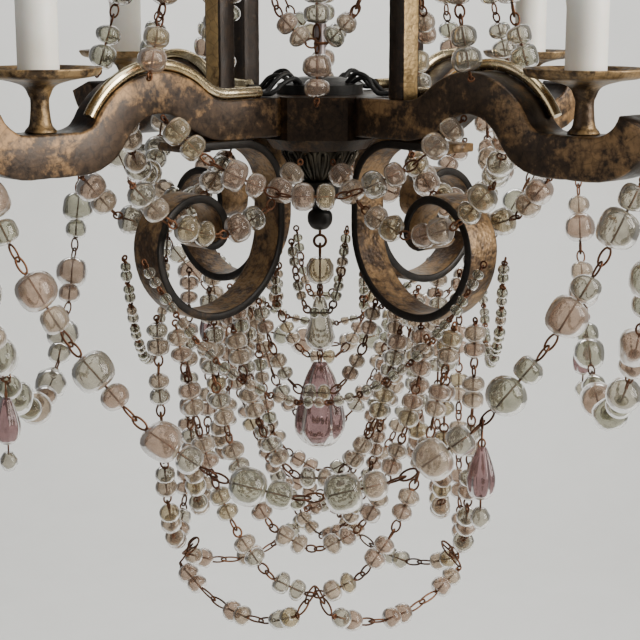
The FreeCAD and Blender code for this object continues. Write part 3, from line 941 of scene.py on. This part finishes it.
def sleeves():
    count, tall = 64, 60
    for arm in range(4):
        rng = random.Random(70 + arm)
        spot = polar(CANDLE_R, 90 * arm, 0)
        sleeve = Shape(f"sleeve_{arm + 1}", [CANDLE], "candle", "chandelier")
        runs = []
        for _ in range(SLEEVE_RUNS):
            runs.append((rng.uniform(0, 6.28), rng.uniform(18, 78), rng.uniform(0.16, 0.30)))
        rows = []
        for i in range(tall + 1):
            z = SLEEVE_Z + (SLEEVE_TOP - SLEEVE_Z) * i / tall
            down = SLEEVE_TOP - z
            lip = 0.5 * math.exp(-((down / 3) ** 2))
            row = []
            for j in range(count):
                a = 2 * math.pi * j / count
                r = SLEEVE_SKIN_R + drip_height(a, down, runs) * 0.75 + lip
                row.append(vec(spot.x + r * math.cos(a), spot.y + r * math.sin(a), z))
            rows.append(row)
        centre = vec(spot.x, spot.y, SLEEVE_TOP)
        rows.append([centre + (p - centre) * 0.9 for p in rows[-1]])
        rows.append([p - vec(0, 0, 7) for p in rows[-1]])
        sleeve.grid(rows)
        sleeve.make([f"candle_sleeve_{arm + 1}"])


def hub_wires():
    """The flex that leaves the junction disc for each arm."""
    flex = Shape("flex", [FLEX], "black_flex", "chandelier")
    for arm in range(4):
        spin = turn_z(90 * arm)
        for side, rise in ((8.6, 3.4), (3.0, 6.0)):
            line = [
                (22, side * 0.7, 7), (29, side, 7 + rise), (38, side + 1, 5 + rise),
                (48, side, 2.2), (57.5, 8.6, 2.4),
            ]
            points = smoothed_line([spin @ vec(x, y, HUB_Z + z) for x, y, z in line])
            tube(flex, points, 1.5, count=10)
    flex.make(["arm_wires"])


def kept_nodes():
    """CAD nodes that keep their shape and get a finish."""
    looks = {
        "suspension_ring": RUSTY, "crown_eye": RUSTY, "centre_tube": TUBE_LOOK, "hub_block": HUB_LOOK,
        "junction_disc": BLACK, "finial_hook": WIRE, "wiring_tubes": BRASS, "lamp_sockets": SOCKET_LOOK,
        "scroll_screws": RUSTY,
    }
    for name, look in looks.items():
        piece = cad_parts[name]
        piece.data.materials.clear()
        piece.data.materials.append(look)


# ---------------------------------------------------------------- room, light and camera

CAMERA_TURN = -43.0
CAMERA_RISE = 12.0
CAMERA_AWAY = 0.975
TARGET = Vector((0, 0, -0.491))
FLOOR_Z = -1.45
FLOOR_NEAR = 3.5  # how far the floor reaches on the camera's side
ROOM_HALF_WIDTH = 1.9
COVE_R = 0.8
WALL_AWAY = 2.9  # from the axis, further than the camera of any view
WALL_TOP = 4.0  # over the floor


def toward(turn, rise):
    a, e = math.radians(turn), math.radians(rise)
    return Vector((math.sin(a) * math.cos(e), -math.cos(a) * math.cos(e), math.sin(e)))


def aim(obj, place, target):
    obj.location = place
    obj.rotation_euler = (target - place).to_track_quat("-Z", "Y").to_euler()


def room():
    """A pale floor that curves up into a pale wall on the far side."""
    look = Look("plaster")
    grain = look.noise(9.0, 5.0)
    paint = look.ramp(grain, [(0.3, (0.78, 0.785, 0.765)), (0.7, (0.81, 0.815, 0.795))])
    look.finish(paint, 0.85, look.bump(grain, 0.6))
    cove = WALL_AWAY - COVE_R
    line = [(-FLOOR_NEAR, 0.0), (cove, 0.0)]
    for i in range(1, 13):
        t = i / 12 * math.pi / 2
        line.append((cove + COVE_R * math.sin(t), COVE_R - COVE_R * math.cos(t)))
    line.append((WALL_AWAY, WALL_TOP))
    spin = turn_z(CAMERA_TURN)
    edges = (-ROOM_HALF_WIDTH, ROOM_HALF_WIDTH)
    points = [spin @ Vector((x, y, FLOOR_Z + z)) for y, z in line for x in edges]
    faces = [(2 * i, 2 * i + 1, 2 * i + 3, 2 * i + 2) for i in range(len(line) - 1)]
    mesh = bpy.data.meshes.new("floor_and_wall")
    mesh.from_pydata([tuple(p) for p in points], [], faces)
    mesh.materials.append(look.made)
    mesh.polygons.foreach_set("use_smooth", [True] * len(faces))
    made = bpy.data.objects.new("floor_and_wall", mesh)
    bpy.context.scene.collection.objects.link(made)


def area_light(name, turn, rise, away, size, power, colour, target=TARGET):
    """A soft light: turn is degrees round from the camera, rise is degrees up."""
    data = bpy.data.lights.new(name, "AREA")
    data.shape = "RECTANGLE"
    data.size, data.size_y = size
    data.energy = power
    data.color = colour
    made = bpy.data.objects.new(name, data)
    bpy.context.scene.collection.objects.link(made)
    aim(made, TARGET + toward(CAMERA_TURN + turn, rise) * away, target)


def lights():
    """A big window to the right of the camera, weak fills, and a light of its own for the wall."""
    area_light("window", 62, 22, 1.9, (1.1, 1.5), 66, (1.0, 0.965, 0.91))
    area_light("fill", -55, 15, 2.4, (1.6, 1.6), 9, (1.0, 0.98, 0.96))
    area_light("above", 20, 72, 1.8, (1.2, 1.2), 12, (1.0, 0.99, 0.97))
    backdrop = TARGET + toward(CAMERA_TURN + 180, -6) * WALL_AWAY
    area_light("wall_wash", 180, 50, 1.9, (2.4, 0.8), 54, (1.0, 0.99, 0.97), backdrop)
    world = bpy.data.worlds.new("room_light")
    world.use_nodes = True
    world.node_tree.nodes["Background"].inputs["Color"].default_value = (0.95, 0.94, 0.93, 1.0)
    world.node_tree.nodes["Background"].inputs["Strength"].default_value = 0.13
    bpy.context.scene.world = world


def camera():
    data = bpy.data.cameras.new("camera")
    data.sensor_width = 36.0
    data.lens = 84.4
    data.clip_start = 0.02
    made = bpy.data.objects.new("camera", data)
    bpy.context.scene.collection.objects.link(made)
    aim(made, TARGET + toward(CAMERA_TURN, CAMERA_RISE) * CAMERA_AWAY, TARGET)
    bpy.context.scene.camera = made


arms()
all_strings()
drops()
centre_pendant()
leaf_cup()
finial()
crown()
lamps()
sleeves()
hub_wires()
kept_nodes()
room()
lights()
camera()
